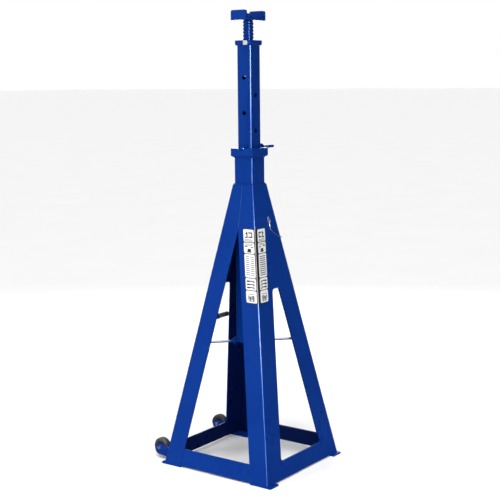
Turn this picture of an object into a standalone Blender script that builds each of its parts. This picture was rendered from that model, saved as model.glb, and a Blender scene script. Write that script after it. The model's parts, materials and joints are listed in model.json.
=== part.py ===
"""Tall support stand for commercial vehicles, built as a Blender model.

A pyramid base of folded sheet holds a square outer tube. A square mast slides in the tube and hangs on
a lock pin, and a jack screw with a swivelling saddle rises from the mast's cap. Two small wheels at the
rear let the stand be tipped and rolled. Metres, +Z up, +Y towards the wheels, floor at z = 0.
"""

import math

import bmesh
import bpy
from mathutils import Matrix, Vector

GAP = 0.0003  # clearance between neighbouring pieces
MERGE = 0.0001

# Pyramid base of folded sheet
PLATE = 0.005
FOOT_HALF = 0.294  # half width over the folds, at the foot pads
TOP_HALF = 0.0563
FOOT_Z = 0.007  # top of the foot pads
TOP_Z = 1.307
SLOPE = (FOOT_HALF - TOP_HALF) / (TOP_Z - FOOT_Z)
LEAN = math.atan(SLOPE)
FOLD_RADIUS = 0.006
FRONT_LEG = 0.115  # leg width on the front and rear faces
SIDE_LEG = 0.0935  # flange width on the side faces
RAIL_TOP = 0.087
OPENING_TOP = 0.835
OPENING_CORNER = 0.013
PAD_LENGTH = (0.064, 0.112)
PAD_OUTER = (0.296, 0.312)

# Outer tube, collar and braces
OUTER_HALF = 0.0508
OUTER_WALL = 0.0095
TUBE_LOW = 0.570
COLLAR_HALF = 0.0615
COLLAR_LOW = 1.432
COLLAR_TOP = 1.471
NOTCH_RADIUS = 0.0125
NOTCH_Z = COLLAR_TOP + 0.002
BRACE_LOW = 0.5715
BRACE_THICK = 0.005
BRACE_WIDTH = 0.030
GUSSET = (0.026, 0.020)  # reach along the brace, half height at the tube

# Inner mast and its holes
MAST_HALF = 0.0381
MAST_WALL = 0.006
MAST_LOW = 0.950
MAST_TOP = 1.929
PIN_RADIUS = 0.0095
PIN_Z = NOTCH_Z - NOTCH_RADIUS + PIN_RADIUS + GAP
HOLE_RADIUS = 0.0105
HOLE_PITCH = 0.159
HOLE_Z = PIN_Z + PIN_RADIUS - HOLE_RADIUS + GAP
CAP_HALF = 0.0442
CAP_TOP = 1.952

# Jack screw and saddle
SCREW_RADIUS = 0.024
SCREW_LOW = 1.800
SADDLE_LOW = 2.040
SADDLE_BASE = 0.012
SADDLE_SIZE = (0.0755, 0.0415)  # half length, half width
SADDLE_TOP = 2.084
LUG_THICK = 0.010
NECK_RADIUS = 0.010

# Lock bolt in the cap, aimed at the screw
BOLT_ANGLE = math.radians(180.0 + 22.5)
BOLT_Z = 1.9405
BOLT_RADIUS = 0.006
BOLT_HEAD = (0.0543, 0.0655, 0.0095)  # distance out to the head's two faces, and its half width

# Lock pin along X
PIN_ENDS = (-0.060, 0.085)
HANDLE_RADIUS = 0.0065
HANDLE_END = 0.193
RING_X = 0.108
RING_RADIUS = 0.011
RING_WIRE = 0.0016

# Wheels behind the rear legs
WHEEL_X = 0.225
WHEEL_RADIUS = 0.042
WHEEL_HALF = 0.016
AXLE_REACH = 0.0755  # axle's distance from the rear face, square to it
BRACKET_Z = 0.0405
LUG_RADIUS = 0.026
LUG_DROP = 0.008  # how far the lug's round end sits below the axle
LUG_INNER = 0.0205
LUG_OUTER = 0.0255
AXLE_RADIUS = 0.005
HEXAGON_RADIUS = 0.0098  # over the corners of the axle's hexagons
BOLT_HEAD_HEIGHT = 0.0065
NUT_HEIGHT = 0.0082

# Carrying handle inside the rear left leg
GRIP_Z = 0.678
GRIP_ROD = 0.008
GRIP_RADIUS = 0.0115
GRIP_ENDS = (-0.048, 0.028)

# Capacity label wrapped round the front left fold
LABEL_THICK = 0.0005
LABEL_Z = (0.786, 1.112)
LABEL_SIDE = 0.0655
LABEL_FRONT = 0.078

# Lanyard from the front face to the lock pin
WIRE_RADIUS = 0.0015
EYE_SIZE = (0.015, 0.0075)  # half length, half width of each crimped eye
CRIMP_RADIUS = 0.0032
TAB_Z = 1.157
TAB_X = 0.016
LANYARD_ROUTE = [
    (0.0225, -0.0958, 1.1125),
    (0.0245, -0.0965, 1.1045),
    (0.0295, -0.0978, 1.0960),
    (0.0380, -0.0989, 1.0890),
    (0.0500, -0.1004, 1.0810),
    (0.0650, -0.1022, 1.0710),
    (0.0800, -0.1037, 1.0630),
    (0.0950, -0.1047, 1.0575),
    (0.1045, -0.1048, 1.0555),
    (0.1090, -0.1020, 1.0560),
    (0.1105, -0.0950, 1.0585),
    (0.1107, -0.0830, 1.0650),
    (0.1105, -0.0650, 1.0790),
    (0.1100, -0.0470, 1.1030),
    (0.1095, -0.0310, 1.1360),
    (0.1090, -0.0190, 1.1780),
    (0.1086, -0.0100, 1.2300),
    (0.1083, -0.0045, 1.2900),
    (0.1081, -0.0015, 1.3500),
    (0.1080, 0.0000, 1.4145),
]

# The box round the whole stand is centred on the origin, so the mast stands a little in front of it.
AXLE_Y = FOOT_HALF - SLOPE * (BRACKET_Z - FOOT_Z) + AXLE_REACH * math.cos(LEAN)
AXLE_Z = BRACKET_Z + AXLE_REACH * math.sin(LEAN)
AXIS_Y = (PAD_OUTER[1] - AXLE_Y - WHEEL_RADIUS) / 2

PARTS = None
CUTTERS = None


def half_width(z):
    """Half width of the pyramid over its outer faces at height z."""
    return FOOT_HALF - SLOPE * (z - FOOT_Z)


def inner_half(z):
    """Half width of the pyramid inside its sheet at height z."""
    return half_width(z) - PLATE / math.cos(LEAN)


# Scene and materials


def clear_scene():
    for item in list(bpy.data.objects):
        bpy.data.objects.remove(item, do_unlink=True)


def new_collection(name):
    group = bpy.data.collections.new(name)
    bpy.context.scene.collection.children.link(group)
    return group


def material(name, colour, roughness, metallic=0.0):
    paint = bpy.data.materials.new(name)
    paint.use_nodes = True
    shader = paint.node_tree.nodes["Principled BSDF"]
    shader.inputs["Base Color"].default_value = (*colour, 1.0)
    shader.inputs["Roughness"].default_value = roughness
    shader.inputs["Metallic"].default_value = metallic
    paint.diffuse_color = (*colour, 1.0)
    return paint


def blue_paint(name):
    return material(name + "_paint", (0.008, 0.045, 0.300), 0.35)


def zinc(name):
    return material(name + "_zinc", (0.75, 0.77, 0.80), 0.30, 1.0)


def black_rubber(name):
    return material(name + "_rubber", (0.020, 0.020, 0.022), 0.75)


# Shapes, each a bmesh that finish() turns into an object


def block(low, high):
    low, high = Vector(low), Vector(high)
    shape = bmesh.new()
    bmesh.ops.create_cube(shape, size=1.0)
    bmesh.ops.scale(shape, vec=high - low, verts=shape.verts)
    bmesh.ops.translate(shape, vec=(low + high) / 2, verts=shape.verts)
    return shape


def rod(start, end, radius, sides=24):
    """A round bar between two points, or a hexagonal one with 6 sides."""
    start, end = Vector(start), Vector(end)
    turn = (end - start).to_track_quat("Z", "Y").to_matrix().to_4x4()
    shape = bmesh.new()
    bmesh.ops.create_cone(
        shape,
        cap_ends=True,
        segments=sides,
        radius1=radius,
        radius2=radius,
        depth=(end - start).length,
        matrix=Matrix.Translation((start + end) / 2) @ turn,
    )
    return shape


def slab(outline, thickness):
    """A flat outline in space, made solid by sweeping it along the vector thickness."""
    shape = bmesh.new()
    face = shape.faces.new([shape.verts.new(point) for point in outline])
    swept = bmesh.ops.extrude_face_region(shape, geom=[face], use_keep_orig=True)
    moved = [item for item in swept["geom"] if isinstance(item, bmesh.types.BMVert)]
    bmesh.ops.translate(shape, vec=Vector(thickness), verts=moved)
    bmesh.ops.recalc_face_normals(shape, faces=shape.faces)
    return shape


def round_edges(shape, pick, width, segments=2):
    edges = [edge for edge in shape.edges if pick(edge)]
    bmesh.ops.bevel(
        shape, geom=edges, offset=width, segments=segments, profile=0.5, affect="EDGES"
    )
    return shape


def upright(edge):
    """Is the edge vertical?"""
    run = edge.verts[1].co - edge.verts[0].co
    return abs(run.normalized().z) > 0.99


def at_height(z):
    """A test for the edges that lie at height z."""
    return lambda edge: all(abs(vert.co.z - z) < MERGE for vert in edge.verts)


def arc(centre, radius, start_deg, end_deg, count):
    """Points on an arc in a plane, both ends included."""
    steps = [
        math.radians(start_deg + (end_deg - start_deg) * i / count)
        for i in range(count + 1)
    ]
    return [
        (centre[0] + radius * math.cos(a), centre[1] + radius * math.sin(a))
        for a in steps
    ]


def finish(shape, name, paint=None, origin=(0.0, 0.0, 0.0)):
    """Make an object of a bmesh, with its origin where asked. With no paint it is a cutter."""
    bmesh.ops.translate(shape, vec=-Vector(origin), verts=shape.verts)
    mesh = bpy.data.meshes.new(name)
    shape.to_mesh(mesh)
    shape.free()
    item = bpy.data.objects.new(name, mesh)
    item.location = origin
    if paint is None:
        CUTTERS.objects.link(item)
        item.hide_render = True
        item.display_type = "WIRE"
        return item
    mesh.materials.append(paint)
    PARTS.objects.link(item)
    mesh.shade_smooth()
    mesh.set_sharp_from_angle(angle=math.radians(35))
    return item


def boolean(item, other, operation="DIFFERENCE"):
    step = item.modifiers.new(operation.lower(), "BOOLEAN")
    step.operation = operation
    step.solver = "EXACT"
    step.object = other
    return item


def cut(item, shape, label):
    return boolean(item, finish(shape, f"{item.name}_{label}"))


def weld_on(item, shape, label):
    return boolean(item, finish(shape, f"{item.name}_{label}"), "UNION")


def turned(name, profile, paint, start, direction, steps=32):
    """A piece turned from a profile of (radius, distance) pairs, listed top to bottom of its outer side."""
    mesh = bpy.data.meshes.new(name)
    points = [(radius, 0.0, height) for radius, height in profile]
    links = [(i, i + 1) for i in range(len(points) - 1)]
    mesh.from_pydata(points, links, [])
    mesh.materials.append(paint)
    item = bpy.data.objects.new(name, mesh)
    PARTS.objects.link(item)
    item.location = start
    item.rotation_euler = (
        Vector(direction).to_track_quat("Z", "Y").to_euler()
    )
    screw = item.modifiers.new("turn", "SCREW")
    screw.steps = steps
    screw.render_steps = steps
    screw.use_merge_vertices = True
    screw.merge_threshold = MERGE
    screw.use_smooth_shade = True
    return item


def wire_object(name, points, radius, paint, closed=False, resolution=2):
    """A round wire along a list of points."""
    data = bpy.data.curves.new(name, "CURVE")
    data.dimensions = "3D"
    data.bevel_depth = radius
    data.bevel_resolution = resolution
    data.use_fill_caps = True
    line = data.splines.new("POLY")
    line.points.add(len(points) - 1)
    for target, point in zip(line.points, points):
        target.co = (*point, 1.0)
    line.use_cyclic_u = closed
    data.materials.append(paint)
    item = bpy.data.objects.new(name, data)
    PARTS.objects.link(item)
    return item


def smooth_route(points, spacing):
    """Points at about the given spacing on a smooth curve through the route's own points."""
    knots = [Vector(point) for point in points]
    padded = [2 * knots[0] - knots[1], *knots, 2 * knots[-1] - knots[-2]]
    route = []
    for a, b, c, d in zip(padded, padded[1:], padded[2:], padded[3:]):
        count = max(1, round((c - b).length / spacing))
        for i in range(count):
            t = i / count
            route.append(
                0.5
                * (
                    2 * b
                    + (c - a) * t
                    + (2 * a - 5 * b + 4 * c - d) * t**2
                    + (3 * b - a - 3 * c + d) * t**3
                )
            )
    return [*route, knots[-1]]


# Pyramid base


def trim_boxes(item):
    """Cut the sheet level at the foot pads and at the top."""
    reach = 0.4
    cut(item, block((-reach, -reach, -0.1), (reach, reach, FOOT_Z + GAP)), "foot_trim")
    cut(item, block((-reach, -reach, TOP_Z), (reach, reach, TOP_Z + 0.1)), "top_trim")


def shell_surface(side):
    """The outer surface of half the pyramid: one face and a flange folded back on each side of it."""
    spare = 0.012
    low, high = FOOT_Z - spare, TOP_Z + spare
    meet = FOOT_Z + (FOOT_HALF - SIDE_LEG) / SLOPE  # height at which the flanges come together
    seam = side * GAP / 2
    shape = bmesh.new()
    folds = {}
    for x_side in (-1, 1):
        for z in (low, high):
            half = half_width(z)
            folds[x_side, z] = shape.verts.new((x_side * half, side * half, z))
    shape.faces.new([folds[-1, low], folds[1, low], folds[1, high], folds[-1, high]])
    for x_side in (-1, 1):
        low_half, high_half = half_width(low), half_width(high)
        edge = [
            shape.verts.new((x_side * high_half, seam, high)),
            shape.verts.new((x_side * half_width(meet), seam, meet)),
            shape.verts.new((x_side * low_half, side * (low_half - SIDE_LEG), low)),
        ]
        shape.faces.new([folds[x_side, low], folds[x_side, high], *edge])
    bmesh.ops.recalc_face_normals(shape, faces=shape.faces)
    shape.faces.ensure_lookup_table()
    if shape.faces[0].normal.y * side < 0:
        bmesh.ops.reverse_faces(shape, faces=shape.faces)
    return shape


def shell(name, side):
    item = finish(shell_surface(side), name, blue_paint(name))
    fold = item.modifiers.new("fold", "BEVEL")
    fold.limit_method = "ANGLE"
    fold.angle_limit = math.radians(30)
    fold.width = FOLD_RADIUS
    fold.segments = 3
    sheet = item.modifiers.new("sheet", "SOLIDIFY")
    sheet.thickness = PLATE
    sheet.offset = -1.0
    sheet.use_even_offset = True
    trim_boxes(item)
    window = slab(
        [
            (x_side * (half_width(z) - FRONT_LEG), 0.4 * side, z)
            for x_side, z in (
                (-1, RAIL_TOP),
                (1, RAIL_TOP),
                (1, OPENING_TOP),
                (-1, OPENING_TOP),
            )
        ],
        (0.0, -0.38 * side, 0.0),
    )
    round_edges(
        window,
        lambda edge: abs(edge.verts[0].co.y - edge.verts[1].co.y) > 0.1,
        OPENING_CORNER,
        3,
    )
    cut(item, window, "window")
    return item


def side_rail(name, side):
    """A straight rail between the flanges of the two shells, in the plane of the side face."""
    low = FOOT_Z - 0.012
    outline = []
    for y_side, z in ((-1, low), (1, low), (1, RAIL_TOP), (-1, RAIL_TOP)):
        half = half_width(z)
        outline.append((side * half, y_side * (half - SIDE_LEG - GAP), z))
    inward = Vector((-side * math.cos(LEAN), 0.0, -math.sin(LEAN))) * PLATE
    item = finish(slab(outline, inward), name, blue_paint(name))
    trim_boxes(item)
    return item


def foot_pad(name, x_side, y_side):
    low_x, high_x = sorted((x_side * PAD_OUTER[0], x_side * (PAD_OUTER[0] - PAD_LENGTH[0])))
    low_y, high_y = sorted((y_side * PAD_OUTER[1], y_side * (PAD_OUTER[1] - PAD_LENGTH[1])))
    pad = round_edges(block((low_x, low_y, 0.0), (high_x, high_y, FOOT_Z)), upright, 0.002)
    return finish(pad, name, blue_paint(name))


def brace(name, x_side, y_side):
    """A flat bar from the tube's corner to the inside of a leg, with a small gusset at the tube."""
    near = OUTER_HALF + GAP
    far = inner_half(BRACE_LOW + BRACE_THICK) - GAP
    skew = BRACE_WIDTH / math.sqrt(2)
    tip = 0.005
    corner = near - 0.0022  # the tube's corner is rounded, so the notch can be a little deeper
    plan = [
        (near, near - skew),
        (far, far - skew),
        (far, far - tip),
        (far - tip, far),
        (far - skew, far),
        (near - skew, near),
        (corner, near),
        (near, corner),
    ]
    outline = [(x_side * x, y_side * y, BRACE_LOW) for x, y in plan]
    item = finish(slab(outline, (0.0, 0.0, BRACE_THICK)), name, blue_paint(name))
    reach, rise = GUSSET
    along = Vector((x_side, y_side, 0.0)).normalized()
    across = Vector((-along.y, along.x, 0.0)) * BRACE_THICK
    root = Vector((x_side * near, y_side * near, BRACE_LOW + BRACE_THICK / 2)) - across / 2
    triangle = [
        root + Vector((0.0, 0.0, rise)),
        root + along * reach,
        root - Vector((0.0, 0.0, rise)),
    ]
    weld_on(item, slab(triangle, across), "gusset")
    return item


# Tube, collar and mast


def square_tube(name, half, wall, corner, low, high):
    outer = round_edges(block((-half, -half, low), (half, half, high)), upright, corner, 3)
    item = finish(outer, name, blue_paint(name))
    bore = half - wall
    inner = block((-bore, -bore, low - 0.01), (bore, bore, high + 0.01))
    cut(item, round_edges(inner, upright, max(corner - wall, 0.001), 2), "bore")
    return item


def collar():
    shape = block((-COLLAR_HALF, -COLLAR_HALF, COLLAR_LOW), (COLLAR_HALF, COLLAR_HALF, COLLAR_TOP))
    round_edges(shape, at_height(COLLAR_LOW), 0.006, 1)
    round_edges(shape, upright, 0.003)
    item = finish(shape, "collar", blue_paint("collar"))
    bore = MAST_HALF + 0.0012
    reach = COLLAR_HALF + 0.01
    cut(item, block((-bore, -bore, COLLAR_LOW - 0.01), (bore, bore, COLLAR_TOP + 0.01)), "bore")
    cut(item, rod((-reach, 0.0, NOTCH_Z), (reach, 0.0, NOTCH_Z), NOTCH_RADIUS), "pin_notch")
    return item


def mast():
    item = square_tube("inner_mast", MAST_HALF, MAST_WALL, 0.007, MAST_LOW, MAST_TOP)
    reach = MAST_HALF + 0.01
    for step in range(-3, 3):
        z = HOLE_Z + step * HOLE_PITCH
        cut(item, rod((-reach, 0.0, z), (reach, 0.0, z), HOLE_RADIUS, 20), f"hole_x{step + 3}")
        if step < 2:
            z += HOLE_PITCH / 2
            cut(item, rod((0.0, -reach, z), (0.0, reach, z), HOLE_RADIUS, 20), f"hole_y{step + 3}")
    return item


def bolt_direction():
    return Vector((math.cos(BOLT_ANGLE), math.sin(BOLT_ANGLE), 0.0))


def mast_cap():
    shape = block((-CAP_HALF, -CAP_HALF, MAST_TOP + GAP), (CAP_HALF, CAP_HALF, CAP_TOP))
    round_edges(shape, at_height(MAST_TOP + GAP), 0.0055, 1)
    round_edges(shape, upright, 0.003)
    item = finish(shape, "mast_cap", blue_paint("mast_cap"))
    bore = rod((0.0, 0.0, MAST_TOP - 0.01), (0.0, 0.0, CAP_TOP + 0.01), SCREW_RADIUS + GAP, 40)
    cut(item, bore, "bore")
    centre = Vector((0.0, 0.0, BOLT_Z))
    tunnel = rod(centre, centre + bolt_direction() * 0.08, BOLT_RADIUS + GAP, 20)
    cut(item, tunnel, "bolt_hole")
    return item


def lock_bolt():
    """A square-headed bolt whose tip bears on the jack screw."""
    near, far, half = BOLT_HEAD
    centre = Vector((0.0, 0.0, BOLT_Z))
    out = bolt_direction()
    shank = rod(centre + out * (SCREW_RADIUS + 2 * GAP), centre + out * (near + 0.002), BOLT_RADIUS, 20)
    item = finish(shank, "lock_bolt", zinc("lock_bolt"), centre + out * near)
    head = round_edges(block((-half, -half, near), (half, half, far)), upright, 0.001)
    turn = out.to_track_quat("Z", "Y").to_matrix().to_4x4()
    head.transform(Matrix.Translation(centre) @ turn)
    weld_on(item, head, "head")
    return item


# Jack screw and saddle


def jack_screw():
    neck = SADDLE_LOW + SADDLE_BASE + 0.0195
    height = neck - SCREW_LOW
    shoulder = SADDLE_LOW - GAP - SCREW_LOW
    profile = [
        (0.0, height),
        (NECK_RADIUS - 0.0015, height),
        (NECK_RADIUS, height - 0.0015),
        (NECK_RADIUS, shoulder),
        (SCREW_RADIUS, shoulder),
        (SCREW_RADIUS, 0.002),
        (SCREW_RADIUS - 0.002, 0.0),
        (0.0, 0.0),
    ]
    paint = blue_paint("jack_screw")
    return turned("jack_screw", profile, paint, (0.0, 0.0, SCREW_LOW), (0.0, 0.0, 1.0), 40)


def ring_piece(name, inner, outer, low, high, paint, sides=32):
    """A washer or nut on the mast's axis, round or with 6 sides."""
    item = finish(rod((0.0, 0.0, low), (0.0, 0.0, high), outer, sides), name, paint)
    if inner:
        cut(item, rod((0.0, 0.0, low - 0.01), (0.0, 0.0, high + 0.01), inner, 24), "bore")
    return item


def screw_fittings():
    """What holds the saddle on the screw's neck, and the stop at the screw's lower end."""
    floor = SADDLE_LOW + SADDLE_BASE
    bore = NECK_RADIUS + GAP
    ring_piece("saddle_washer", bore, 0.0185, floor + GAP, floor + 0.003, blue_paint("saddle_washer"))
    ring_piece("saddle_nut", bore, 0.0173, floor + 0.0033, floor + 0.0165, blue_paint("saddle_nut"), 6)
    below = SCREW_LOW - GAP
    ring_piece("stop_washer", 0.0, 0.029, below - 0.008, below, zinc("stop_washer"))
    ring_piece("stop_bolt", 0.0, 0.011, below - 0.0155, below - 0.008 - GAP, zinc("stop_bolt"), 6)


def saddle():
    """A U-shaped cradle: a base plate that turns on the screw's neck, and a lug at each end."""
    length, width = SADDLE_SIZE
    base = block((-length, -width, SADDLE_LOW), (length, width, SADDLE_LOW + SADDLE_BASE))
    item = finish(base, "saddle", blue_paint("saddle"), (0.0, 0.0, SADDLE_LOW))
    for side in (-1, 1):
        low_x, high_x = sorted((side * length, side * (length - LUG_THICK)))
        lug = block((low_x, -width, SADDLE_LOW), (high_x, width, SADDLE_TOP))
        top = [edge for edge in lug.edges if abs(edge.verts[0].co.x - edge.verts[1].co.x) > 0.005]
        round_edges(lug, lambda edge: edge in top and edge.verts[0].co.z > SADDLE_LOW + 0.02, 0.009, 4)
        weld_on(item, lug, "lug_left" if side < 0 else "lug_right")
    bore = rod((0.0, 0.0, SADDLE_LOW - 0.01), (0.0, 0.0, SADDLE_TOP), NECK_RADIUS + GAP, 32)
    cut(item, bore, "bore")
    return item


# Lock pin


def lock_pin():
    start, end = PIN_ENDS
    length = HANDLE_END - start
    step = end - start
    tip = HANDLE_RADIUS
    dome = [
        (tip * math.sin(a), length - tip + tip * math.cos(a))
        for a in (math.radians(15 * i) for i in range(7))
    ]
    profile = [
        *dome,
        (HANDLE_RADIUS, step),
        (PIN_RADIUS, step),
        (PIN_RADIUS, 0.003),
        (PIN_RADIUS - 0.003, 0.0),
        (0.0, 0.0),
    ]
    paint = blue_paint("lock_pin")
    return turned("lock_pin", profile, paint, (start, 0.0, PIN_Z), (1.0, 0.0, 0.0), 28)


def pin_fittings():
    washer = rod(
        (PIN_ENDS[1] + GAP, 0.0, PIN_Z), (PIN_ENDS[1] + 0.006, 0.0, PIN_Z), 0.0175, 32
    )
    item = finish(washer, "pin_washer", blue_paint("pin_washer"), (PIN_ENDS[1], 0.0, PIN_Z))
    cut(item, rod((0.07, 0.0, PIN_Z), (0.12, 0.0, PIN_Z), HANDLE_RADIUS + GAP), "bore")
    ring_z = PIN_Z + HANDLE_RADIUS + RING_WIRE + GAP - RING_RADIUS
    loop = [
        (RING_X, y, z)
        for y, z in arc((0.0, ring_z), RING_RADIUS, 0, 360, 28)[:-1]
    ]
    wire_object("pin_ring", loop, RING_WIRE, zinc("pin_ring"), closed=True)
    return ring_z


# Lanyard


def eye(name, centre, long_way, wide_way):
    """A closed loop of wire, longer than it is wide."""
    length, width = EYE_SIZE
    points = [
        centre + long_way * (length * c) + wide_way * (width * s)
        for c, s in arc((0.0, 0.0), 1.0, 0, 360, 24)[:-1]
    ]
    return wire_object(name, points, WIRE_RADIUS, zinc(name), closed=True)


def lanyard(ring_z):
    """Tab on the front face, two crimped eyes, and the wire between them."""
    face = -half_width(TAB_Z)
    out = Vector((0.0, -math.cos(LEAN), math.sin(LEAN)))
    up = Vector((0.0, math.sin(LEAN), math.cos(LEAN)))
    base = Vector((TAB_X, face, TAB_Z)) + out * GAP
    plan = [(-0.009, 0.0), *arc((0.0, 0.008), 0.007, 180, 0, 8), (0.009, 0.0)]
    outline = [base + up * along + out * away for along, away in plan]
    thick = Vector((0.003, 0.0, 0.0))
    plate = slab([point - thick / 2 for point in outline], thick)
    tab = finish(plate, "lanyard_tab", blue_paint("lanyard_tab"))
    hole = base + out * 0.008
    cut(tab, rod(hole - thick * 4, hole + thick * 4, 0.0034, 16), "hole")
    lower = Vector(LANYARD_ROUTE[0])
    top = hole - up * 0.0005
    down = (lower - top).normalized()
    side = down.cross(out).normalized()
    eye("eye_lower", top + down * EYE_SIZE[0], down, side)
    sleeve = top + down * (2 * EYE_SIZE[0] + WIRE_RADIUS + GAP)
    finish(rod(sleeve, lower - down * GAP, CRIMP_RADIUS, 16), "crimp_lower", zinc("crimp_lower"))
    route = smooth_route(LANYARD_ROUTE, 0.009)
    wire_object("lanyard_wire", route, WIRE_RADIUS, zinc("lanyard_wire"))
    bottom = ring_z - RING_RADIUS
    hang = bottom + RING_WIRE + WIRE_RADIUS + 2 * GAP
    down = Vector((0.0, 0.0, -1.0))
    start = Vector((RING_X, 0.0, hang))
    eye("eye_upper", start + down * EYE_SIZE[0], down, Vector((1.0, 0.0, 0.0)))
    sleeve = start + down * (2 * EYE_SIZE[0] + WIRE_RADIUS + GAP)
    foot = Vector(LANYARD_ROUTE[-1]) + Vector((0.0, 0.0, GAP))
    finish(rod(sleeve, foot, CRIMP_RADIUS, 16), "crimp_upper", zinc("crimp_upper"))


# Wheels


def rear_face_frame(x, z):
    """Local axes on the rear face: X across, Y straight out of the sheet, Z up along it."""
    turn = Matrix.Rotation(LEAN, 4, "X")
    return Matrix.Translation((x, half_width(z), z)) @ turn


def wheel_bracket(name, x):
    place = rear_face_frame(x, BRACKET_Z)
    plate = block((-0.031, GAP, -0.028), (0.031, 0.0045, 0.028))
    plate.transform(place)
    item = finish(plate, name, blue_paint(name))
    plan = [
        (0.002, -0.027),
        *arc((AXLE_REACH, -LUG_DROP), LUG_RADIUS, -90, 90, 10),
        (0.002, LUG_RADIUS - LUG_DROP),
    ]
    for side in (-1, 1):
        low_x = min(side * LUG_INNER, side * LUG_OUTER)
        lug = slab([(low_x, y, z) for y, z in plan], (LUG_OUTER - LUG_INNER, 0.0, 0.0))
        lug.transform(place)
        weld_on(item, lug, "lug_left" if side < 0 else "lug_right")
    axle = rod((x - 0.05, AXLE_Y, AXLE_Z), (x + 0.05, AXLE_Y, AXLE_Z), AXLE_RADIUS + GAP, 20)
    cut(item, axle, "axle_hole")
    return item


def axle_rod(start, stop, radius, sides=20):
    return rod((start, AXLE_Y, AXLE_Z), (stop, AXLE_Y, AXLE_Z), radius, sides)


def axle_bolt(name, side):
    """A hexagon-headed bolt from outside the bracket, through both lugs and the wheel."""
    seat = side * (WHEEL_X + LUG_OUTER + GAP)
    end = side * (WHEEL_X - LUG_OUTER - NUT_HEIGHT - 0.004)
    item = finish(axle_rod(seat, seat + side * BOLT_HEAD_HEIGHT, HEXAGON_RADIUS, 6), name, zinc(name))
    weld_on(item, axle_rod(seat + side * BOLT_HEAD_HEIGHT / 2, end, AXLE_RADIUS), "shank")


def axle_nut(name, side):
    seat = side * (WHEEL_X - LUG_OUTER - GAP)
    item = finish(axle_rod(seat, seat - side * NUT_HEIGHT, HEXAGON_RADIUS, 6), name, zinc(name))
    cut(item, axle_rod(0.0, side * 2 * WHEEL_X, AXLE_RADIUS + GAP), "bore")


def wheel(side_name, x):
    """A rubber tyre on a plastic hub, both turned about the axle."""
    rim = 0.028
    round_over = 0.007
    shoulder = WHEEL_HALF - round_over
    crown = WHEEL_RADIUS - round_over
    corner = arc((crown, shoulder), round_over, 90, 0, 4)
    tread = [*corner, *((radius, -height) for radius, height in reversed(corner))]
    profile = [(rim, WHEEL_HALF), *tread, (rim, -WHEEL_HALF), (rim, WHEEL_HALF)]
    centre = (x, AXLE_Y, AXLE_Z)
    across = (1.0, 0.0, 0.0)
    turned(f"tyre_{side_name}", profile, black_rubber(f"tyre_{side_name}"), centre, across, 32)
    bore, boss, web, half = AXLE_RADIUS + GAP, 0.011, 0.005, 0.0188
    edge = rim - GAP
    hub = [
        (bore, half),
        (boss, half),
        (boss, web),
        (edge - 0.004, web),
        (edge - 0.004, WHEEL_HALF - 0.002),
        (edge, WHEEL_HALF - 0.002),
        (edge, -WHEEL_HALF + 0.002),
        (edge - 0.004, -WHEEL_HALF + 0.002),
        (edge - 0.004, -web),
        (boss, -web),
        (boss, -half),
        (bore, -half),
        (bore, half),
    ]
    plastic = material(f"hub_{side_name}_plastic", (0.030, 0.030, 0.034), 0.5)
    turned(f"hub_{side_name}", hub, plastic, centre, across, 32)


# Handle and label


def carrying_handle():
    y = inner_half(GRIP_Z) - GRIP_ROD / math.cos(LEAN) - GAP
    start = -inner_half(GRIP_Z) + 0.014
    rod_end = GRIP_ENDS[1] - 0.008
    finish(
        rod((start, y, GRIP_Z), (rod_end, y, GRIP_Z), GRIP_ROD), "handle_rod", blue_paint("handle_rod")
    )
    near, far = GRIP_ENDS
    length = far - near
    bore = GRIP_ROD + GAP
    dome = [
        (GRIP_RADIUS - 0.004 + 0.004 * math.sin(a), length - 0.004 + 0.004 * math.cos(a))
        for a in (math.radians(22.5 * i) for i in range(5))
    ]
    profile = [
        (0.0, length),
        *dome,
        (GRIP_RADIUS, 0.003),
        (GRIP_RADIUS + 0.0025, 0.002),
        (GRIP_RADIUS + 0.0025, 0.0),
        (bore, 0.0),
        (bore, rod_end + GAP - near),
        (0.0, rod_end + GAP - near),
    ]
    paint = black_rubber("handle_grip")
    turned("handle_grip", profile, paint, (near, y, GRIP_Z), (1.0, 0.0, 0.0), 28)


def label(name, on_side, width):
    """One half of the label: a thin strip lying along the fold, on the side face or on the front face."""
    outline = []
    for inset, z in ((0.002, LABEL_Z[0]), (width, LABEL_Z[0]), (width, LABEL_Z[1]), (0.002, LABEL_Z[1])):
        half = half_width(z)
        along, face = -(half - inset), -half
        outline.append(Vector((face, along, z)) if on_side else Vector((along, face, z)))
    out = Vector((-math.cos(LEAN), 0.0, math.sin(LEAN)))
    if not on_side:
        out = Vector((0.0, -math.cos(LEAN), math.sin(LEAN)))
    outline = [point + out * GAP for point in outline]
    vinyl = material(f"{name}_vinyl", (0.80, 0.80, 0.80), 0.5)
    return finish(slab(outline, out * LABEL_THICK), name, vinyl)


# The whole stand


def build_frame():
    shell("front_shell", -1)
    shell("rear_shell", 1)
    side_rail("left_rail", -1)
    side_rail("right_rail", 1)
    for y_name, y_side in (("front", -1), ("rear", 1)):
        for x_name, x_side in (("left", -1), ("right", 1)):
            foot_pad(f"foot_pad_{y_name}_{x_name}", x_side, y_side)
            brace(f"brace_{y_name}_{x_name}", x_side, y_side)
    square_tube("outer_tube", OUTER_HALF, OUTER_WALL, 0.009, TUBE_LOW, COLLAR_LOW - GAP)
    collar()
    carrying_handle()
    label("label_side", True, LABEL_SIDE)
    label("label_front", False, LABEL_FRONT)


def build_wheels():
    for name, side in (("left", -1), ("right", 1)):
        wheel_bracket(f"wheel_bracket_{name}", side * WHEEL_X)
        wheel(name, side * WHEEL_X)
        axle_bolt(f"axle_bolt_{name}", side)
        axle_nut(f"axle_nut_{name}", side)


def build_mast():
    mast()
    mast_cap()
    lock_bolt()
    jack_screw()
    screw_fittings()
    saddle()
    lock_pin()


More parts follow.
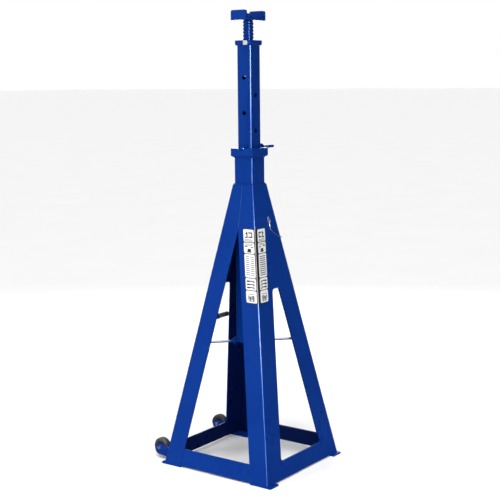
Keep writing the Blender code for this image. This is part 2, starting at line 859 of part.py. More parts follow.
def stand_on_origin():
    """Shift the finished stand so that the box round it is centred on the origin."""
    base = bpy.data.objects.new("stand_origin", None)
    PARTS.objects.link(base)
    base.location = (0.0, AXIS_Y, 0.0)
    for item in [*PARTS.objects, *CUTTERS.objects]:
        if item is not base:
            item.parent = base


def main():
    global PARTS, CUTTERS
    clear_scene()
    PARTS = new_collection("support_stand")
    CUTTERS = new_collection("cutters")
    build_frame()
    build_wheels()
    build_mast()
    lanyard(pin_fittings())
    stand_on_origin()
    bpy.context.view_layer.update()


main()
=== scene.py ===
"""Looks of the axle jack stand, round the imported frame.

Paint, plating and rubber on the frame's own solids, then weld beads, the screw's thread, the wheels,
the label and the lanyard as meshes of their own, and the camera, the light and the floor.
"""

import json
import math

import bmesh
import bpy
from mathutils import Matrix, Vector, noise


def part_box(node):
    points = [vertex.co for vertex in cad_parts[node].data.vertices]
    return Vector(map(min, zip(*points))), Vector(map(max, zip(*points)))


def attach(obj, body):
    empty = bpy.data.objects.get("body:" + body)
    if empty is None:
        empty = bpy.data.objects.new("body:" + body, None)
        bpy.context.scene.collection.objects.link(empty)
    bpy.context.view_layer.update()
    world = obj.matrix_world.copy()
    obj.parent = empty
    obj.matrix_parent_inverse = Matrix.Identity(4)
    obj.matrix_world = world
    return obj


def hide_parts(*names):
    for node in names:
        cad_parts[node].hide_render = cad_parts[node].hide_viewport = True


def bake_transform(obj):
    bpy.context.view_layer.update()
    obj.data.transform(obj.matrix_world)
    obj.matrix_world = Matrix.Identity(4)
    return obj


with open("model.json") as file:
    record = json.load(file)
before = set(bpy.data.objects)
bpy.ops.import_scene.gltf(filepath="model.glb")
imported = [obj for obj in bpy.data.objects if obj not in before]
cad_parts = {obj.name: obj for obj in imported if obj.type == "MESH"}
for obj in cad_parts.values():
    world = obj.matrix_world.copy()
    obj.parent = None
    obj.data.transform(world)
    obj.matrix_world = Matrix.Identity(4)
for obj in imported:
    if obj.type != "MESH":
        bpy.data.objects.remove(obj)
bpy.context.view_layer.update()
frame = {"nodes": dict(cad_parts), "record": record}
NODES = frame["nodes"]

# Where the mast stands in the frame
AXIS_Y = (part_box("inner_mast")[0].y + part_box("inner_mast")[1].y) / 2

# Colours, linear
BLUE = (0.0012, 0.0230, 0.185)
BLUE_LIGHT = (0.0022, 0.0330, 0.220)
STEEL = (0.56, 0.58, 0.62)
RUBBER = (0.022, 0.022, 0.030)


# Node trees


class Tree:
    """Short names for making and joining shader nodes."""

    def __init__(self, name):
        self.material = bpy.data.materials.new(name)
        self.material.use_nodes = True
        self.nodes = self.material.node_tree.nodes
        self.links = self.material.node_tree.links
        self.shader = self.nodes["Principled BSDF"]
        self.place = self.nodes.new("ShaderNodeTexCoord").outputs["Object"]

    def set(self, **values):
        for name, value in values.items():
            self.shader.inputs[name.replace("_", " ")].default_value = value

    def noise(self, scale, detail=3.0, roughness=0.5, stretch=None):
        node = self.nodes.new("ShaderNodeTexNoise")
        node.inputs["Scale"].default_value = scale
        node.inputs["Detail"].default_value = detail
        node.inputs["Roughness"].default_value = roughness
        source = self.place
        if stretch:
            mapping = self.nodes.new("ShaderNodeMapping")
            mapping.inputs["Scale"].default_value = stretch
            self.links.new(source, mapping.inputs["Vector"])
            source = mapping.outputs["Vector"]
        self.links.new(source, node.inputs["Vector"])
        return node.outputs["Fac"]

    def remap(self, value, low, high, to_low=0.0, to_high=1.0):
        node = self.nodes.new("ShaderNodeMapRange")
        node.inputs["From Min"].default_value = low
        node.inputs["From Max"].default_value = high
        node.inputs["To Min"].default_value = to_low
        node.inputs["To Max"].default_value = to_high
        self.links.new(value, node.inputs["Value"])
        return node.outputs["Result"]

    def mix(self, share, first, second):
        node = self.nodes.new("ShaderNodeMix")
        node.data_type = "RGBA"
        self.links.new(share, node.inputs["Factor"])
        for name, value in (("A", first), ("B", second)):
            socket = [s for s in node.inputs if s.name == name and s.type == "RGBA"][0]
            if isinstance(value, tuple):
                socket.default_value = (*value, 1.0)
            else:
                self.links.new(value, socket)
        return [s for s in node.outputs if s.type == "RGBA"][0]

    def bump(self, height, distance, strength=1.0):
        node = self.nodes.new("ShaderNodeBump")
        node.inputs["Distance"].default_value = distance
        node.inputs["Strength"].default_value = strength
        self.links.new(height, node.inputs["Height"])
        previous = self.shader.inputs["Normal"].links
        if previous:
            self.links.new(previous[0].from_socket, node.inputs["Normal"])
        self.links.new(node.outputs["Normal"], self.shader.inputs["Normal"])

    def feed(self, socket, value):
        self.links.new(value, self.shader.inputs[socket])


def blue_paint(name="blue_paint", deep=BLUE, light=BLUE_LIGHT):
    """Gloss enamel on steel: faintly cloudy blue with a little orange peel."""
    tree = Tree(name)
    clouds = tree.remap(tree.noise(4.0, 2.0), 0.15, 0.85)
    base = tree.mix(clouds, deep, light)
    tree.feed("Base Color", base)
    tree.feed("Roughness", tree.remap(tree.noise(9.0, 2.0), 0.15, 0.85, 0.25, 0.33))
    tree.set(Specular_IOR_Level=0.13, Specular_Tint=(0.16, 0.36, 1.0, 1.0))
    tree.set(Coat_Weight=0.02, Coat_Roughness=0.12)
    tree.bump(tree.noise(330.0, 2.0), 0.0002, 0.35)
    return tree.material


def plated_steel(name, colour=STEEL, roughness=0.28):
    """Bright zinc plate: faint colour clouds and fine scratches."""
    tree = Tree(name)
    clouds = tree.remap(tree.noise(60.0, 4.0), 0.3, 0.7)
    tree.feed("Base Color", tree.mix(clouds, colour, tuple(c * 0.78 for c in colour)))
    tree.feed("Roughness", tree.remap(tree.noise(140.0, 4.0), 0.3, 0.7, roughness - 0.08, roughness + 0.12))
    tree.set(Metallic=1.0)
    tree.bump(tree.noise(900.0, 2.0, stretch=(1.0, 1.0, 0.12)), 0.00008, 0.5)
    return tree.material


def rubber(name, colour=RUBBER, roughness=0.62):
    tree = Tree(name)
    dust = tree.remap(tree.noise(38.0, 6.0), 0.42, 0.75)
    tree.feed("Base Color", tree.mix(dust, colour, tuple(c * 2.4 for c in colour)))
    tree.feed("Roughness", tree.remap(tree.noise(90.0, 4.0), 0.3, 0.7, roughness - 0.1, roughness + 0.15))
    tree.bump(tree.noise(700.0, 3.0), 0.0002, 0.5)
    return tree.material


def printed_film(name, colour):
    """Glossy vinyl: a flat colour, slightly scuffed and not quite level."""
    tree = Tree(name)
    scuffs = tree.remap(tree.noise(55.0, 6.0), 0.5, 0.8)
    tree.feed("Base Color", tree.mix(scuffs, colour, tuple(c * 0.9 + 0.01 for c in colour)))
    tree.feed("Roughness", tree.remap(tree.noise(120.0, 3.0), 0.3, 0.7, 0.30, 0.45))
    tree.set(Specular_IOR_Level=0.25)
    tree.bump(tree.noise(60.0, 2.0), 0.0002, 0.3)
    return tree.material


MATERIALS = {
    "blue_paint": blue_paint(),
    "zinc_plate": plated_steel("zinc_plate"),
    "tyre_rubber": rubber("tyre_rubber"),
    "wheel_hub": rubber("wheel_hub", roughness=0.45),
    "grip_rubber": rubber("grip_rubber"),
    "screw": blue_paint("screw_paint"),
    # a darker blue for the sheets' inward faces: painted shade, not a coat of its own
    "painted_shade_inside": blue_paint("painted_shade_inside", (0.0006, 0.0060, 0.060), (0.0010, 0.0090, 0.080)),
    "label_film": printed_film("label_film", (0.012, 0.012, 0.014)),
    "label_white": printed_film("label_white", (0.76, 0.76, 0.76)),
    "label_ink": printed_film("label_ink", (0.012, 0.012, 0.016)),
}


SHEETS = ("front_shell", "rear_shell", "left_rail", "right_rail")  # their faces turned toward the mast get a darker blue: painted shade of the frame's inside


def dress_cad():
    """Every CAD node gets its slot's material, softened edges and smooth shading; on the sheets, faces
    turned toward the mast get a darker blue as painted shade.
    """
    slots = {row["node"]: row["material_slot"] for row in frame["record"]["subparts"]}
    for name, node in NODES.items():
        node.data.materials.clear()
        node.data.materials.append(MATERIALS[slots[name]])
        if name in SHEETS:
            node.data.materials.append(MATERIALS["painted_shade_inside"])
        for face in node.data.polygons:
            face.use_smooth = True
            outward = Vector((face.center.x, face.center.y - AXIS_Y, 0.0)).normalized()
            # faces turned toward the mast take the darker blue: painted shade
            if name in SHEETS and face.normal.dot(outward) < -0.5:
                face.material_index = 1
        flat = node.modifiers.new("flat", "DECIMATE")
        flat.decimate_type = "DISSOLVE"
        flat.angle_limit = math.radians(1.0)
        edge = node.modifiers.new("edge", "BEVEL")
        edge.limit_method = "ANGLE"
        edge.angle_limit = math.radians(35.0)
        edge.width = 0.0007
        edge.segments = 2
        edge.use_clamp_overlap = True
        node.modifiers.new("normals", "WEIGHTED_NORMAL").keep_sharp = True


# Shape of the folded pyramid, as the frame has it

TOP_HALF = 0.0563  # half width over the folds at the top of the sheets
TOP_Z = 1.307
SLOPE = (0.294 - TOP_HALF) / (TOP_Z - 0.007)
LEAN = math.atan(SLOPE)
SIDE_LEG = 0.0935  # width of the flanges that make each leg's side
TUBE_HALF = 0.0508
TUBE_CORNER = 0.009
COLLAR_LOW = 1.432


def half_width(z):
    return TOP_HALF + (TOP_Z - z) * SLOPE


def side_point(side, along, z, off=0.0):
    """A point on the left (-1) or right (1) face, off its surface by the given distance."""
    x = side * (half_width(z) + off * math.cos(LEAN))
    return Vector((x, along + AXIS_Y, z + off * math.sin(LEAN)))


def face_point(side, along, z, off=0.0):
    """The same on the front (-1) or rear (1) face."""
    y = side * (half_width(z) + off * math.cos(LEAN))
    return Vector((along, y + AXIS_Y, z + off * math.sin(LEAN)))


# Meshes


def new_piece(name, mesh, material, body, smooth=35.0):
    """An object that rides on a body, or on none, with edges sharper than an angle kept sharp."""
    piece = bpy.data.objects.new(name, mesh)
    bpy.context.scene.collection.objects.link(piece)
    mesh.materials.append(material)
    mesh.shade_smooth()
    mesh.set_sharp_from_angle(angle=math.radians(smooth))
    if body:
        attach(piece, body)
    return piece


def rings_mesh(name, rings, closed=False):
    """Joins equal rings of points into a tube, capped unless it closes on itself."""
    count = len(rings[0])
    points = [point for ring in rings for point in ring]
    faces = []
    spans = len(rings) if closed else len(rings) - 1
    for row in range(spans):
        here, there = row * count, (row + 1) % len(rings) * count
        for i in range(count):
            j = (i + 1) % count
            faces.append((here + i, here + j, there + j, there + i))
    if not closed:
        faces.append(tuple(reversed(range(count))))
        last = (len(rings) - 1) * count
        faces.append(tuple(range(last, last + count)))
    mesh = bpy.data.meshes.new(name)
    mesh.from_pydata([tuple(point) for point in points], [], faces)
    shape = bmesh.new()
    shape.from_mesh(mesh)
    bmesh.ops.recalc_face_normals(shape, faces=shape.faces)
    shape.to_mesh(mesh)
    shape.free()
    return mesh


def merge(name, meshes):
    """One mesh from several."""
    shape = bmesh.new()
    for mesh in meshes:
        shape.from_mesh(mesh)
        bpy.data.meshes.remove(mesh)
    whole = bpy.data.meshes.new(name)
    shape.to_mesh(whole)
    shape.free()
    return whole


def resample(points, spacing, closed=False):
    """Points evenly spaced along a polyline."""
    points = [Vector(point) for point in points]
    if closed:
        points.append(points[0])
    lengths = [(b - a).length for a, b in zip(points, points[1:])]
    total = sum(lengths)
    count = max(2, round(total / spacing))
    result = []
    index, passed = 0, 0.0
    for step in range(count if closed else count + 1):
        target = total * step / count
        while index < len(lengths) - 1 and passed + lengths[index] < target:
            passed += lengths[index]
            index += 1
        share = (target - passed) / lengths[index] if lengths[index] else 0.0
        result.append(points[index].lerp(points[index + 1], min(1.0, share)))
    return result


def sweep(name, path, radius_at, sides, closed=False, twist=0.0):
    """A tube along a path. radius_at(distance, angle) gives its radius, and twist turns it as it goes."""
    count = len(path)
    tangents = []
    for i in range(count):
        if closed:
            ahead, behind = path[(i + 1) % count], path[i - 1]
        else:
            ahead, behind = path[min(i + 1, count - 1)], path[max(i - 1, 0)]
        tangents.append((ahead - behind).normalized())
    normal = tangents[0].orthogonal().normalized()
    rings, distance = [], 0.0
    for i, tangent in enumerate(tangents):
        if i:
            normal = (tangents[i - 1].rotation_difference(tangent) @ normal).normalized()
            distance += (path[i] - path[i - 1]).length
        across = tangent.cross(normal)
        ring = []
        for step in range(sides):
            angle = 2 * math.pi * step / sides
            radius = radius_at(distance, angle)
            turned = angle + twist * distance
            ring.append(path[i] + radius * (math.cos(turned) * normal + math.sin(turned) * across))
        rings.append(ring)
    return rings_mesh(name, rings, closed)


def lathe(name, profile, centre, axis, steps):
    """Turns a closed (radius, height) profile about an axis."""
    turn = Vector(axis).to_track_quat("Z", "Y").to_matrix()
    centre = Vector(centre)
    rings = []
    for step in range(steps):
        angle = 2 * math.pi * step / steps
        across = Vector((math.cos(angle), math.sin(angle), 0.0))
        rings.append([centre + turn @ (across * r + Vector((0.0, 0.0, h))) for r, h in profile])
    return rings_mesh(name, rings, closed=True)


# Welds

WELD_STEP = 0.0012
WELD_PITCH = 0.0042
WELD_SINK = 0.0002  # the middle of a bead stands this far off the sheet
FRONT_SEAM = 0.198  # how far from the middle the seams in the front and rear faces are


def wander(point):
    """A smooth offset with the same value in every run."""
    shifts = (Vector((0.0, 0.0, 0.0)), Vector((31.4, 5.2, 11.7)), Vector((7.9, 47.2, 23.1)))
    return Vector([noise.noise(point + shift) for shift in shifts])


def bead(path, radius, closed=False):
    """One run of weld: a rounded bead with overlapping ripples and slightly uneven width."""
    path = resample(path, WELD_STEP, closed)
    seed = path[0] * 37.0
    for i, point in enumerate(path):
        path[i] = point + wander(point * 160.0 + seed) * radius * 0.12
    length = sum((b - a).length for a, b in zip(path, path[1:]))

    def radius_at(distance, angle):
        ripple = abs(math.sin(math.pi * distance / WELD_PITCH)) ** 0.7
        uneven = noise.noise(seed + Vector((distance * 90.0, 0.0, 0.0)))
        ends = 1.0 if closed else min(1.0, 0.35 + min(distance, length - distance) / radius)
        return radius * (0.80 + 0.16 * ripple + 0.10 * uneven) * max(0.3, ends)

    return sweep("bead", path, radius_at, 10, closed)


def square_loop(half, corner, z):
    """A square with rounded corners round the mast's axis."""
    points = []
    for quarter in range(4):
        start = math.pi / 2 * quarter
        centre = Matrix.Rotation(start, 3, "Z") @ Vector((half - corner, half - corner, 0.0))
        for step in range(5):
            angle = start + math.pi / 2 * step / 4
            out = Vector((math.cos(angle), math.sin(angle), 0.0)) * corner
            points.append(Vector((0.0, AXIS_Y, z)) + centre + out)
    return points


def frame_welds():
    """At the top of the sheets, under the collar, down the seams, and at the rails and the foot pads."""
    beads = [
        bead(square_loop(TUBE_HALF + 0.0018, TUBE_CORNER, TOP_Z + 0.0012), 0.0034, closed=True),
        bead(square_loop(TUBE_HALF + 0.0012, TUBE_CORNER, COLLAR_LOW - 0.0012), 0.0030, closed=True),
    ]
    for side in (-1, 1):
        beads.append(bead([side_point(side, 0.0, z, WELD_SINK) for z in (1.108, 1.303)], 0.0026))
        for end in (-1, 1):
            leg = [(end * (half_width(z) - SIDE_LEG), z) for z in (0.012, 0.084)]
            beads.append(bead([side_point(side, along, z, WELD_SINK) for along, z in leg], 0.0026))
            front = [face_point(side, end * FRONT_SEAM, z, WELD_SINK) for z in (0.011, 0.085)]
            beads.append(bead(front, 0.0022))
            foot = [face_point(side, end * x, 0.0085, 0.0012) for x in (0.238, 0.282)]
            beads.append(bead(foot, 0.0032))
    return beads


BRACKET_X, BRACKET_Z = 0.225, 0.0405


def bracket_welds():
    """Round three sides of each wheel bracket's plate, and at the foot of both its lugs."""
    beads = []
    for side in (-1, 1):
        place = Matrix.Translation((side * BRACKET_X, half_width(BRACKET_Z) + AXIS_Y, BRACKET_Z))
        place = place @ Matrix.Rotation(LEAN, 4, "X")
        wide, low, high = 0.0315, -0.024, 0.0285
        path = [(-wide, 0.0012, low), (-wide, 0.0012, high), (wide, 0.0012, high), (wide, 0.0012, low)]
        beads.append(bead([place @ Vector(point) for point in path], 0.0026))
        for lug in (-1, 1):
            for face in (0.0200, 0.0260):
                foot = [(lug * face, 0.0052, -0.022), (lug * face, 0.0052, 0.013)]
                beads.append(bead([place @ Vector(point) for point in foot], 0.0016))
    return beads


def spatter():
    """The few blobs that stand out on the near faces at the foot."""
    blobs = []
    for side, along, z, size, face in (
        (-1, -0.198, 0.052, 0.0030, face_point),
        (-1, -0.197, 0.021, 0.0034, face_point),
        (-1, 0.194, 0.012, 0.0030, side_point),
        (-1, -0.288, 0.013, 0.0030, side_point),
    ):
        shape = bmesh.new()
        bmesh.ops.create_icosphere(shape, subdivisions=2, radius=size)
        for vertex in shape.verts:
            vertex.co *= 0.85 + 0.3 * noise.noise(vertex.co * 300.0)
            vertex.co += face(side, along, z, 0.0)
        mesh = bpy.data.meshes.new("blob")
        shape.to_mesh(mesh)
        shape.free()
        blobs.append(mesh)
    return blobs


# Jack screw

THREAD_PITCH = 0.015
THREAD_RADIUS = 0.024
THREAD_ROOT = 0.0214
THREAD_END = 0.0206  # where the chamfer at each end starts
NECK_RADIUS = 0.010
THREAD_SIDES = 64
THREAD_STEPS = 14  # rings in one turn


def thread_radius(turns):
    """Trapezoidal thread: flat crest, sloping flank, flat root, flank."""
    phase = turns % 1.0
    if phase < 0.34:
        return THREAD_RADIUS
    if phase < 0.50:
        return THREAD_RADIUS + (THREAD_ROOT - THREAD_RADIUS) * (phase - 0.34) / 0.16
    if phase < 0.84:
        return THREAD_ROOT
    return THREAD_ROOT + (THREAD_RADIUS - THREAD_ROOT) * (phase - 0.84) / 0.16


def jack_screw():
    """The screw with its thread, one closed mesh from its lower end to the top of its neck."""
    low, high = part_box("jack_screw")
    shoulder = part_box("saddle")[0].z - 0.0003
    rings = []
    z = low.z
    step = THREAD_PITCH / THREAD_STEPS
    while z < shoulder - step:
        rings.append((z, None))
        z += step
    rings.append((shoulder, None))
    rings += [(shoulder, NECK_RADIUS), (high.z - 0.0015, NECK_RADIUS), (high.z, NECK_RADIUS - 0.0015)]
    shape = []
    for z, plain in rings:
        ring = []
        chamfer = min(z - low.z, shoulder - z)
        limit = THREAD_END + chamfer * 1.2
        for i in range(THREAD_SIDES):
            angle = 2 * math.pi * i / THREAD_SIDES
            radius = plain or min(thread_radius((z - low.z) / THREAD_PITCH - i / THREAD_SIDES), limit)
            ring.append(Vector((radius * math.cos(angle), AXIS_Y + radius * math.sin(angle), z)))
        shape.append(ring)
    mesh = rings_mesh("threaded_screw", shape)
    screw = new_piece("threaded_screw", mesh, MATERIALS["screw"], "screw", 40.0)
    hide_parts("jack_screw")


# Label

LABEL_LOW, LABEL_HIGH = 0.786, 1.112
LABEL_SIDE, LABEL_FRONT = 0.0655, 0.078  # how far it reaches from the fold on each face
FOLD_RADIUS = 0.006
LABEL_FACE = 0.0008  # its outer surface stands this far off the sheet
BLOCKS = ((0.006, 0.176), (0.186, 0.330), (0.340, 0.655), (0.665, 0.822), (0.832, 0.992))


def patch(corners, point_at, low, high, round_by=0.0):
    """A thin raised patch between two distances off the sheet, with (from the fold, height) corners."""
    (u0, v0), (u1, v1) = corners
    if round_by:
        outline = []
        for cu, cv, start in (
            (u1 - round_by, v1 - round_by, 0),
            (u0 + round_by, v1 - round_by, 90),
            (u0 + round_by, v0 + round_by, 180),
            (u1 - round_by, v0 + round_by, 270),
        ):
            for step in range(5):
                a = math.radians(start + 22.5 * step)
                outline.append((cu + round_by * math.cos(a), cv + round_by * math.sin(a)))
    else:
        outline = [(u0, v0), (u1, v0), (u1, v1), (u0, v1)]
    rings = [[point_at(u, v, off) for u, v in outline] for off in (low, high)]
    return rings_mesh("patch", rings)


def label_section(z, off):
    """The label's line at one height: along the left face, round the fold, and along the front face."""
    half = half_width(z)
    shares = [i / 8 for i in range(9)]
    section = [side_point(-1, LABEL_SIDE * (1 - t) + FOLD_RADIUS * t - half, z, off) for t in shares]
    for i in range(1, 8):
        angle = math.pi / 2 * i / 8
        centre = FOLD_RADIUS - half
        reach = FOLD_RADIUS + off * math.cos(LEAN)
        x, y = centre - reach * math.cos(angle), centre - reach * math.sin(angle)
        section.append(Vector((x, y + AXIS_Y, z + off * math.sin(LEAN))))
    section += [face_point(-1, LABEL_FRONT * t + FOLD_RADIUS * (1 - t) - half, z, off) for t in shares]
    return section


def block_marks(index, columns):
    """Bars and shapes on one block of the label, as (u0, u1, v0, v1) shares of it. They say nothing."""
    if index == 0:
        return [
            (0.14, 0.24, 0.34, 0.78), (0.24, 0.52, 0.68, 0.78), (0.24, 0.52, 0.34, 0.44),
            (0.60, 0.70, 0.30, 0.82), (0.70, 0.86, 0.30, 0.40), (0.70, 0.80, 0.60, 0.70),
            (0.12, 0.90, 0.16, 0.20), (0.12, 0.90, 0.06, 0.10),
        ]
    if index == 1:
        return [
            (0.14, 0.90, 0.86, 0.90), (0.22, 0.86, 0.74, 0.78), (0.10, 0.34, 0.56, 0.64),
            (0.66, 0.92, 0.60, 0.70), (0.30, 0.70, 0.10, 0.20), (0.34, 0.66, 0.20, 0.44),
        ]
    if index == 2:
        marks = []
        for row in range(10):
            v = 0.90 - row * 0.088
            if columns == 2:
                marks += [(0.10, 0.42, v - 0.026, v + 0.002), (0.55, 0.88, v - 0.006, v + 0.022)]
            else:
                marks.append((0.14, 0.88, v - 0.026, v + 0.010))
        return marks
    if index == 3:
        marks = []
        for row in range(3):
            v = 0.78 - row * 0.27
            marks += [(0.20, 0.88, v - 0.05, v + 0.03), (0.12, 0.30, v - 0.13, v - 0.06)]
            marks.append((0.62, 0.90, v - 0.10, v - 0.05))
        return marks
    return [
        (0.22, 0.84, 0.70, 0.74), (0.24, 0.36, 0.18, 0.60), (0.40, 0.50, 0.26, 0.60),
        (0.54, 0.66, 0.18, 0.52), (0.70, 0.80, 0.26, 0.60), (0.22, 0.82, 0.12, 0.17),
    ]


def label():
    """Black film round the front left fold, white panels on both faces, and dark marks on them."""
    height = LABEL_HIGH - LABEL_LOW
    panels, marks = [], []
    rings = []
    for row in range(25):
        z = LABEL_LOW + height * row / 24
        inner, outer = (label_section(z, off) for off in (0.0003, LABEL_FACE))
        rings.append([*inner, *reversed(outer)])
    film = new_piece("label_wrap", rings_mesh("label_wrap", rings), MATERIALS["label_film"], "frame")
    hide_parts("label_side", "label_front")

    def on_side(u, z, off):
        return side_point(-1, u - half_width(z), z, off)

    def on_front(u, z, off):
        return face_point(-1, u - half_width(z), z, off)

    for point_at, near, far, columns in ((on_side, 0.0062, 0.0640, 2), (on_front, 0.0185, 0.0765, 1)):
        for index, (top, bottom) in enumerate(BLOCKS):
            v0, v1 = LABEL_HIGH - bottom * height, LABEL_HIGH - top * height
            low = LABEL_FACE - 0.0002
            panels.append(patch(((near, v0), (far, v1)), point_at, low, LABEL_FACE + 0.00015, 0.0065))
            for a, b, c, d in block_marks(index, columns):
                wide, tall = far - near, v1 - v0
                mark = ((near + wide * a, v0 + tall * c), (near + wide * b, v0 + tall * d))
                marks.append(patch(mark, point_at, LABEL_FACE, LABEL_FACE + 0.00028))
    for name, meshes, paint in (
        ("label_panels", panels, "label_white"),
        ("label_marks", marks, "label_ink"),
    ):
        piece = new_piece(name, merge(name, meshes), MATERIALS[paint], "frame")


# Wheels

WHEEL_RADIUS = 0.042
WHEEL_HALF = 0.016
SHOULDER = 0.007  # radius of the tyre's shoulder
RIM_RADIUS = 0.028
WHEEL_STEPS = 96


def wheels():
    """Tyres with a rounded shoulder and two grooves, and hubs with eight ribs on each side of the web."""
    for name in ("left", "right"):
        low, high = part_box(f"tyre_{name}")
        centre = (low + high) / 2
        half = []
        for angle in range(90, -1, -15):
            a = math.radians(angle)
            across, along = math.sin(math.pi / 2 - a), math.sin(a)
            reach, width = WHEEL_RADIUS - SHOULDER, WHEEL_HALF - SHOULDER
            half.append((reach + SHOULDER * across, width + SHOULDER * along))
        floor = WHEEL_RADIUS - 0.0012
        groove = [(WHEEL_RADIUS, 0.0062), (floor, 0.0056), (floor, 0.0044), (WHEEL_RADIUS, 0.0038)]
        dip = WHEEL_HALF - 0.0008
        wall = [(0.0285, WHEEL_HALF), (0.0305, dip), (0.0325, dip), (0.0335, WHEEL_HALF)]
        upper = [*wall, *half, *groove]
        bore = [(RIM_RADIUS, -WHEEL_HALF + 0.001), (RIM_RADIUS, WHEEL_HALF - 0.001)]
        outline = [*upper, *((r, -h) for r, h in reversed(upper)), *bore]
        tyre = new_piece(
            f"rubber_tyre_{name}",
            lathe("tyre", outline, centre, (1.0, 0.0, 0.0), WHEEL_STEPS),
            MATERIALS["tyre_rubber"],
            f"wheel_{name}",
            30.0,
        )
        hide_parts(f"tyre_{name}")
        hub_half = [
            (0.0053, 0.0183), (0.0058, 0.0188), (0.0104, 0.0188), (0.0110, 0.0182),
            (0.0116, 0.0062), (0.0130, 0.0050), (0.0222, 0.0050), (0.0234, 0.0060),
            (0.0240, 0.0134), (0.0246, 0.0140), (0.0272, 0.0140), (0.0277, 0.0134),
        ]
        hub_profile = [*hub_half, *((r, -h) for r, h in reversed(hub_half))]
        meshes = [lathe("hub", hub_profile, centre, (1.0, 0.0, 0.0), WHEEL_STEPS)]
        for rib in range(8):
            shape = bmesh.new()
            bmesh.ops.create_cube(shape, size=1.0)
            shape.transform(
                Matrix.Translation(centre)
                @ Matrix.Rotation(math.pi / 4 * rib, 4, "X")
                @ Matrix.Translation((0.0, 0.0, 0.0173))
                @ Matrix.Diagonal((0.0230, 0.0022, 0.0138, 1.0))
            )
            mesh = bpy.data.meshes.new("rib")
            shape.to_mesh(mesh)
            shape.free()
            meshes.append(mesh)
        hub = new_piece(f"ribbed_hub_{name}", merge("hub", meshes), MATERIALS["wheel_hub"], f"wheel_{name}")
        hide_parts(f"hub_{name}")


# Lanyard, on the same route as its plain tube in the frame

WIRE_RADIUS = 0.0015
STRANDS = 6
LAY_LENGTH = 0.016  # one turn of the strands
ROUTE = [
    (0.0225, -0.0958, 1.1125),
    (0.0245, -0.0965, 1.1045),
    (0.0295, -0.0978, 1.0960),
    (0.0380, -0.0989, 1.0890),
    (0.0500, -0.1004, 1.0810),
    (0.0650, -0.1022, 1.0710),
    (0.0800, -0.1037, 1.0630),
    (0.0950, -0.1047, 1.0575),
    (0.1045, -0.1048, 1.0555),
    (0.1090, -0.1020, 1.0560),
    (0.1105, -0.0950, 1.0585),
    (0.1107, -0.0830, 1.0650),
    (0.1105, -0.0650, 1.0790),
    (0.1100, -0.0470, 1.1030),
    (0.1095, -0.0310, 1.1360),
    (0.1090, -0.0190, 1.1780),
    (0.1086, -0.0100, 1.2300),
    (0.1083, -0.0045, 1.2900),
    (0.1081, -0.0015, 1.3500),
    (0.1080, 0.0000, 1.4145),
]
PARTING = 15  # the route's point where the lower run ends and the upper one starts


def smooth_route(points, spacing):
    """Points along a smooth curve through the route's own points, and the number of each of those."""
    knots = [Vector(point) + Vector((0.0, AXIS_Y, 0.0)) for point in points]
    padded = [2 * knots[0] - knots[1], *knots, 2 * knots[-1] - knots[-2]]
    route, marks = [], []
    for a, b, c, d in zip(padded, padded[1:], padded[2:], padded[3:]):
        marks.append(len(route))
        count = max(1, round((c - b).length / spacing))
        for i in range(count):
            t = i / count
            middle = (2 * a - 5 * b + 4 * c - d) * t**2
            route.append(0.5 * (2 * b + (c - a) * t + middle + (3 * b - a - 3 * c + d) * t**3))
    route.append(knots[-1])
    return route, [*marks, len(route) - 1]


def strand_radius(distance, angle):
    bump = abs(math.cos(angle * STRANDS / 2))
    return WIRE_RADIUS * (0.86 + 0.14 * bump)


def lanyard():
    """Two runs: the lower goes from the frame to the mast, the upper from the mast to the pin."""
    route, marks = smooth_route(ROUTE, 0.0015)
    split = marks[PARTING]
    lower, upper = route[: split + 1], route[split:]
    twist = 2 * math.pi / LAY_LENGTH
    for name, path, first, second, start, end in (
        ("lanyard_lower", lower, "frame", "mast", lower[0], lower[0] + Vector((0.86, 0.24, 0.44)) * 0.1215),
        ("lanyard_upper", upper, "mast", "pin", upper[0], upper[-1]),
    ):
        mesh = sweep(name, path, strand_radius, 36, twist=twist)
        wire = new_piece(name, mesh, MATERIALS["zinc_plate"], None, 60.0)
        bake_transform(wire)
        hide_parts("lanyard_wire")


def welds():
    mesh = merge("welds", frame_welds() + bracket_welds() + spatter())
    piece = new_piece("welds", mesh, MATERIALS["blue_paint"], "frame", 50.0)


# Camera, light and floor


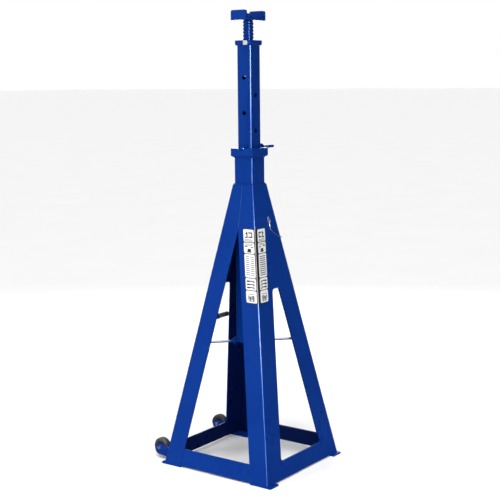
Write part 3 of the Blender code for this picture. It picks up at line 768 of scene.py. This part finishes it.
def studio():
    scene = bpy.context.scene
    scene.view_settings.view_transform = "Standard"
    scene.view_settings.look = "None"
    camera = bpy.data.objects.new("camera", bpy.data.cameras.new("camera"))
    scene.collection.objects.link(camera)
    camera.location = (-4.1162, -2.980 + AXIS_Y, 1.7711)
    aim = Vector((0.0, AXIS_Y, 1.0)) - camera.location
    turn = aim.to_track_quat("-Z", "Y").to_matrix().to_4x4()
    roll = Matrix.Rotation(math.radians(-0.52), 4, "Z")
    camera.matrix_world = Matrix.Translation(camera.location) @ turn @ roll
    camera.data.sensor_width = 36.0
    camera.data.lens = 80.1
    camera.data.shift_x = -0.0006
    scene.camera = camera

    world = bpy.data.worlds.new("studio")
    world.use_nodes = True
    nodes, links = world.node_tree.nodes, world.node_tree.links
    direction = nodes.new("ShaderNodeTexCoord").outputs["Generated"]
    split = nodes.new("ShaderNodeSeparateXYZ")
    links.new(direction, split.inputs["Vector"])
    height = nodes.new("ShaderNodeMapRange")
    height.interpolation_type = "SMOOTHSTEP"
    for socket, value in (("From Min", 0.10), ("From Max", 0.30), ("To Min", 1.0), ("To Max", 0.16)):
        height.inputs[socket].default_value = value
    links.new(split.outputs["Z"], height.inputs["Value"])
    under = nodes.new("ShaderNodeMapRange")
    for socket, value in (("From Min", -0.10), ("From Max", -0.01), ("To Min", 0.15), ("To Max", 1.0)):
        under.inputs[socket].default_value = value
    links.new(split.outputs["Z"], under.inputs["Value"])
    aside = nodes.new("ShaderNodeMath")
    aside.operation = "SUBTRACT"
    links.new(split.outputs["X"], aside.inputs[0])
    links.new(split.outputs["Y"], aside.inputs[1])
    shade = nodes.new("ShaderNodeMapRange")
    shade.interpolation_type = "SMOOTHSTEP"
    for socket, value in (("From Min", 0.75), ("From Max", 1.25), ("To Min", 1.0), ("To Max", 0.08)):
        shade.inputs[socket].default_value = value
    links.new(aside.outputs["Value"], shade.inputs["Value"])
    strength = height.outputs["Result"]
    for factor in (under.outputs["Result"], shade.outputs["Result"]):
        product = nodes.new("ShaderNodeMath")
        product.operation = "MULTIPLY"
        links.new(strength, product.inputs[0])
        links.new(factor, product.inputs[1])
        strength = product.outputs["Value"]
    background = nodes["Background"]
    background.inputs["Color"].default_value = (1.0, 1.0, 1.0, 1.0)
    links.new(strength, background.inputs["Strength"])
    scene.world = world

    for name, place, size, power, on_surfaces in (
        ("ridge_strip", (-2.35, -3.28, 2.05), (0.40, 1.1), 850.0, False),
        ("ridge_low", (-2.35, -3.28, 0.95), (0.40, 1.0), 130.0, False),
        ("left_key", (-3.6, 1.2, 2.2), (1.2, 2.2), 40.0, True),
        ("back_right", (3.0, 2.0, 2.4), (1.2, 2.2), 50.0, True),
    ):
        lamp = bpy.data.objects.new(name, bpy.data.lights.new(name, "AREA"))
        scene.collection.objects.link(lamp)
        lamp.data.shape = "RECTANGLE"
        lamp.data.size, lamp.data.size_y = size
        lamp.data.energy = power
        lamp.location = place
        lamp.visible_camera = False
        lamp.visible_diffuse = on_surfaces
        lamp.rotation_mode = "QUATERNION"
        lamp.rotation_quaternion = (Vector((0.0, 0.0, 1.0)) - lamp.location).to_track_quat("-Z", "Y")

    sun = bpy.data.objects.new("sun", bpy.data.lights.new("sun", "SUN"))
    scene.collection.objects.link(sun)
    sun.data.energy = 3.35
    sun.data.angle = math.radians(50.0)
    sun.rotation_mode = "QUATERNION"
    sun.rotation_quaternion = Vector((0.46, 0.27, -1.0)).to_track_quat("-Z", "Y")

    bpy.ops.mesh.primitive_plane_add(size=400.0, location=(0.0, 0.0, 0.0))
    floor = bpy.context.object
    floor.name = "floor"
    tree = Tree("floor")
    tree.feed("Base Color", tree.mix(tree.noise(1.5, 3.0), (0.86, 0.86, 0.86), (0.90, 0.90, 0.90)))
    tree.set(Roughness=0.7)
    floor.data.materials.append(tree.material)
    floor.visible_glossy = False


dress_cad()
studio()
jack_screw()
label()
wheels()
lanyard()
welds()
